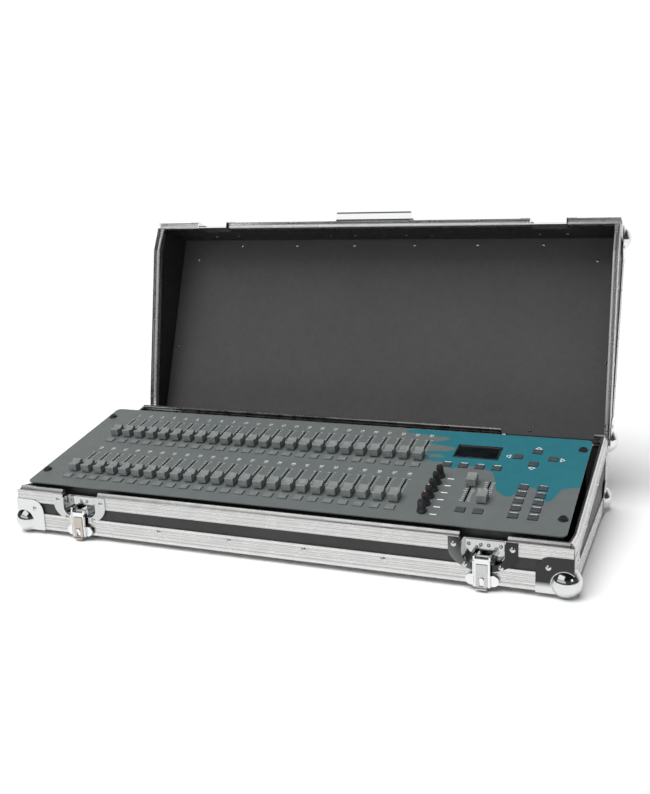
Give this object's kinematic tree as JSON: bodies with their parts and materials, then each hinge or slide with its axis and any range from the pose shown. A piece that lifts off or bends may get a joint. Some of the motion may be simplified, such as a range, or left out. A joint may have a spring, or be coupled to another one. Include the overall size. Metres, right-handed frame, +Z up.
{
  "type": "lighting control desk",
  "caption": "Sloping lighting control desk with rows of faders, keys and knobs, sitting in an open flight case with a hinged lid, latches and ball corners.",
  "frame": {"origin": "bottom centre of the open object's box, on the surface it stands on", "axes": "+X is the operator's right, +Y points to the back and hinges, +Z is up"},
  "size_m": [0.758, 0.4915, 0.4056],
  "materials": {
    "bezel": "satin frame",
    "board": "green laminate board",
    "cap": "moulded grey caps",
    "chassis": "fine textured grey",
    "chrome": "bright plated steel pressings",
    "display_body": "display module",
    "display_glass": "dark polished window",
    "extrusion": "satin grooved extrusion",
    "fader_body": "pressed steel fader frames",
    "key": "moulded grey keys",
    "knob": "moulded black knobs with a coloured line",
    "laminate": "black scuff-resistant laminate on plywood",
    "lining": "charcoal speckled laminate",
    "panel": "fine textured grey with printed fields",
    "pot_body": "moulded",
    "rail_wood": "raw plywood battens",
    "rivet": "polished dome heads",
    "screw": "black screws in bright cup washers",
    "socket": "moulded sockets"
  },
  "bodies": {
    "case_base": {"bottom_board": "laminate", "base_front_wall": "laminate", "base_rear_wall": "laminate", "base_side_walls": "laminate", "base_edge_trims": "extrusion", "base_rim_front": "extrusion", "base_rim_sides": "extrusion", "base_rim_rear": "extrusion", "base_ball_corners": "chrome", "base_rivets": "rivet", "latch_dishes": "chrome", "hinge_leaves_base": "chrome", "desk_rails": "rail_wood"},
    "desk": {"top_panel": "panel", "chassis_tray": "chassis", "panel_screws": "screw", "circuit_board": "board", "fader_units": "fader_body", "knob_pots": "pot_body", "display_bezel": "bezel", "display_window": "display_glass", "display_module": "display_body", "rear_sockets": "socket"},
    "lid": {"lid_top_board": "lining", "lid_front_wall": "laminate", "lid_rear_wall": "laminate", "lid_side_walls": "laminate", "lid_rims": "extrusion", "lid_edge_trims": "extrusion", "lid_ball_corners": "chrome", "lid_rivets": "rivet", "lid_keeper_dishes": "chrome", "hinge_leaves_lid": "chrome", "handle_plates": "chrome"},
    "lid_handle": {"handle_bail": "chrome"},
    "latch_left": {"latch_left_arm": "chrome"},
    "latch_left_wings": {"latch_left_butterfly": "chrome"},
    "latch_left_slider": {"latch_left_hook": "chrome"},
    "latch_right": {"latch_right_arm": "chrome"},
    "latch_right_wings": {"latch_right_butterfly": "chrome"},
    "latch_right_slider": {"latch_right_hook": "chrome"},
    "faders_lower_left": {"faders_lower_left": "cap"},
    "faders_lower_right": {"faders_lower_right": "cap"},
    "faders_upper_left": {"faders_upper_left": "cap"},
    "faders_upper_right": {"faders_upper_right": "cap"},
    "master_fader_left": {"master_fader_left": "cap"},
    "master_fader_right": {"master_fader_right": "cap"},
    "knob_violet": {"knob_violet": "knob"},
    "knob_amber": {"knob_amber": "knob"},
    "knob_white": {"knob_white": "knob"},
    "knob_blue": {"knob_blue": "knob"},
    "knob_green": {"knob_green": "knob"},
    "knob_red": {"knob_red": "knob"},
    "flash_buttons_lower": {"flash_buttons_lower": "key"},
    "flash_buttons_upper": {"flash_buttons_upper": "key"},
    "function_buttons": {"function_buttons": "key"},
    "arrow_buttons": {"arrow_buttons": "key"},
    "memory_buttons": {"memory_buttons": "key"},
    "master_buttons": {"master_buttons": "key"}
  },
  "joints": [
    {"name": "desk_lift", "type": "slide", "parent": "case_base", "child": "desk", "axis": [0, 0, 1], "range_m": [0, 0.12]},
    {"name": "lid_hinge", "type": "hinge", "parent": "case_base", "child": "lid", "pos_m": [0, 0.0789, 0.0879], "axis": [-1, 0, 0], "range_deg": [-110, 0]},
    {"name": "handle_swing", "type": "hinge", "parent": "lid", "child": "lid_handle", "pos_m": [0, 0.21793, 0.38071], "axis": [-1, 0, 0], "range_deg": [0, 90]},
    {"name": "latch_left_swing", "type": "hinge", "parent": "case_base", "child": "latch_left", "pos_m": [-0.27, -0.2355, 0.0394], "axis": [-1, 0, 0], "range_deg": [0, 165]},
    {"name": "latch_left_turn", "type": "hinge", "parent": "latch_left", "child": "latch_left_wings", "pos_m": [-0.27, -0.2403, 0.0144], "axis": [0, -1, 0], "range_deg": [0, 90]},
    {"name": "latch_left_pull", "type": "slide", "parent": "latch_left", "child": "latch_left_slider", "axis": [0, 0, 1], "range_m": [0, 0.005]},
    {"name": "latch_right_swing", "type": "hinge", "parent": "case_base", "child": "latch_right", "pos_m": [0.27, -0.2355, 0.0394], "axis": [-1, 0, 0], "range_deg": [0, 165]},
    {"name": "latch_right_turn", "type": "hinge", "parent": "latch_right", "child": "latch_right_wings", "pos_m": [0.27, -0.2403, 0.0144], "axis": [0, -1, 0], "range_deg": [0, 90]},
    {"name": "latch_right_pull", "type": "slide", "parent": "latch_right", "child": "latch_right_slider", "axis": [0, 0, 1], "range_m": [0, 0.005]},
    {"name": "faders_lower_left_slide", "type": "slide", "parent": "desk", "child": "faders_lower_left", "axis": [0, 0.9753, 0.2207], "range_m": [0, 0.045]},
    {"name": "faders_lower_right_slide", "type": "slide", "parent": "desk", "child": "faders_lower_right", "axis": [0, 0.9753, 0.2207], "range_m": [0, 0.045]},
    {"name": "faders_upper_left_slide", "type": "slide", "parent": "desk", "child": "faders_upper_left", "axis": [0, 0.9753, 0.2207], "range_m": [0, 0.045]},
    {"name": "faders_upper_right_slide", "type": "slide", "parent": "desk", "child": "faders_upper_right", "axis": [0, 0.9753, 0.2207], "range_m": [0, 0.045]},
    {"name": "master_left_slide", "type": "slide", "parent": "desk", "child": "master_fader_left", "axis": [0, 0.9753, 0.2207], "range_m": [-0.039, 0.006]},
    {"name": "master_right_slide", "type": "slide", "parent": "desk", "child": "master_fader_right", "axis": [0, 0.9753, 0.2207], "range_m": [-0.004, 0.041]},
    {"name": "knob_violet_turn", "type": "hinge", "parent": "desk", "child": "knob_violet", "pos_m": [0.19, -0.20484, 0.07386], "axis": [0, 0.2207, -0.9753], "range_deg": [-140, 140]},
    {"name": "knob_amber_turn", "type": "hinge", "parent": "desk", "child": "knob_amber", "pos_m": [0.19, -0.18884, 0.07748], "axis": [0, 0.2207, -0.9753], "range_deg": [-140, 140]},
    {"name": "knob_white_turn", "type": "hinge", "parent": "desk", "child": "knob_white", "pos_m": [0.19, -0.17285, 0.08109], "axis": [0, 0.2207, -0.9753], "range_deg": [-140, 140]},
    {"name": "knob_blue_turn", "type": "hinge", "parent": "desk", "child": "knob_blue", "pos_m": [0.19, -0.15685, 0.08471], "axis": [0, 0.2207, -0.9753], "range_deg": [-140, 140]},
    {"name": "knob_green_turn", "type": "hinge", "parent": "desk", "child": "knob_green", "pos_m": [0.19, -0.14086, 0.08833], "axis": [0, 0.2207, -0.9753], "range_deg": [-140, 140]},
    {"name": "knob_red_turn", "type": "hinge", "parent": "desk", "child": "knob_red", "pos_m": [0.19, -0.12486, 0.09195], "axis": [0, 0.2207, -0.9753], "range_deg": [-140, 140]},
    {"name": "flash_buttons_lower_press", "type": "slide", "parent": "desk", "child": "flash_buttons_lower", "axis": [0, 0.2207, -0.9753], "range_m": [0, 0.001], "stiffness_N_per_m": 3600, "springref_m": -0.002},
    {"name": "flash_buttons_upper_press", "type": "slide", "parent": "desk", "child": "flash_buttons_upper", "axis": [0, 0.2207, -0.9753], "range_m": [0, 0.001], "stiffness_N_per_m": 3600, "springref_m": -0.002},
    {"name": "function_buttons_press", "type": "slide", "parent": "desk", "child": "function_buttons", "axis": [0, 0.2207, -0.9753], "range_m": [0, 0.001], "stiffness_N_per_m": 600, "springref_m": -0.002},
    {"name": "arrow_buttons_press", "type": "slide", "parent": "desk", "child": "arrow_buttons", "axis": [0, 0.2207, -0.9753], "range_m": [0, 0.001], "stiffness_N_per_m": 600, "springref_m": -0.002},
    {"name": "memory_buttons_press", "type": "slide", "parent": "desk", "child": "memory_buttons", "axis": [0, 0.2207, -0.9753], "range_m": [0, 0.001], "stiffness_N_per_m": 1500, "springref_m": -0.002},
    {"name": "master_buttons_press", "type": "slide", "parent": "desk", "child": "master_buttons", "axis": [0, 0.2207, -0.9753], "range_m": [0, 0.001], "stiffness_N_per_m": 300, "springref_m": -0.002}
  ],
  "couplings": [
    {"joint": "latch_left_pull", "follows": "latch_left_turn", "m_per_rad": 0.003183},
    {"joint": "latch_right_pull", "follows": "latch_right_turn", "m_per_rad": 0.003183}
  ]
}
